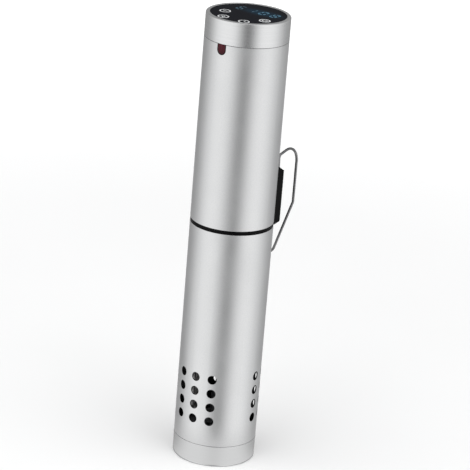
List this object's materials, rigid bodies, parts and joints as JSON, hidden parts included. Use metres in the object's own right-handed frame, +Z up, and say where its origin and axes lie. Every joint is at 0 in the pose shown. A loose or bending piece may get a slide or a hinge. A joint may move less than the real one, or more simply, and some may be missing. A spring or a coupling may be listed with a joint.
{
  "type": "sous vide circulator",
  "caption": "Slim metal sous vide circulator stick with a glass touch top, a pull-off perforated skirt, a heater and pump inside, and a spring wire pot clip.",
  "frame": {"origin": "on the tube's axis, on the underside of the bottom cap's solid hub", "axes": "+Z up along the stick, -Y the front with the indicator lens, +Y the back with the pot clip"},
  "size_m": [0.064, 0.0854, 0.355],
  "materials": {
    "black_gasket": "glossy",
    "black_glass": "polished",
    "black_plastic": "fine grain",
    "board_green": "solder mask",
    "bush_plastic": "white",
    "capacitor_blue": "sleeved",
    "component_black": "moulded",
    "component_yellow": "taped",
    "copper_winding": "enamelled copper",
    "grey_plastic": "moulded",
    "motor_steel": "zinc plated",
    "red_lens": "dark translucent",
    "satin_aluminium": "bead blasted and anodised",
    "seal_rubber": "soft",
    "spring_wire": "polished stainless steel",
    "stainless_steel": "drawn",
    "turned_aluminium": "fine turned lines, anodised",
    "white_nylon": "moulded"
  },
  "bodies": {
    "housing": {"display_glass": "black_glass", "top_bezel": "turned_aluminium", "indicator_lens": "red_lens", "upper_housing": "satin_aluminium", "seam_gasket": "black_gasket", "bulkhead": "grey_plastic", "shaft_seal": "seal_rubber", "upper_bearing": "stainless_steel", "skirt_o_ring": "seal_rubber", "heater_coil": "stainless_steel", "heater_nuts": "stainless_steel", "temperature_probe": "stainless_steel", "level_probes": "stainless_steel", "thermal_fuse": "bush_plastic", "tie_rods": "stainless_steel", "tie_rod_nuts": "stainless_steel", "bearing_spider": "grey_plastic", "spider_bush": "bush_plastic", "motor_plate": "motor_steel", "motor_plate_screws": "stainless_steel", "motor_can": "motor_steel", "motor_stator": "copper_winding", "inner_chassis": "white_nylon", "main_board": "board_green", "transformer": "component_yellow", "relay": "component_black", "filter_capacitors": "capacitor_blue", "triac": "component_black", "heat_sink": "satin_aluminium", "buzzer": "component_black", "terminal_block": "white_nylon", "mains_fuse": "bush_plastic", "fuse_clips": "stainless_steel", "display_board": "board_green", "display_frame": "black_plastic", "digit_display": "component_black", "touch_springs": "stainless_steel", "indicator_led": "red_lens", "cord_gland": "black_plastic", "gland_nut": "black_plastic", "clip_base": "black_plastic", "clip_screws": "stainless_steel", "clip_backing_plate": "motor_steel"},
    "skirt": {"lower_skirt": "satin_aluminium", "bottom_cap": "turned_aluminium"},
    "pump": {"drive_shaft": "stainless_steel", "shaft_coupling": "grey_plastic", "motor_rotor": "motor_steel", "impeller": "grey_plastic", "impeller_nut": "stainless_steel"},
    "clip": {"clip_wire": "spring_wire"}
  },
  "joints": [
    {"name": "pump_spin", "type": "hinge", "parent": "housing", "child": "pump", "pos_m": [0, 0, 0.1], "axis": [0, 0, 1], "continuous": true},
    {"name": "skirt_pull_off", "type": "slide", "parent": "housing", "child": "skirt", "axis": [0, 0, -1], "range_m": [0, 0.2]},
    {"name": "clip_flex", "type": "hinge", "parent": "housing", "child": "clip", "pos_m": [0, 0.028, 0.229], "axis": [1, 0, 0], "range_deg": [0, 5.5], "stiffness_Nm_per_rad": 7}
  ]
}
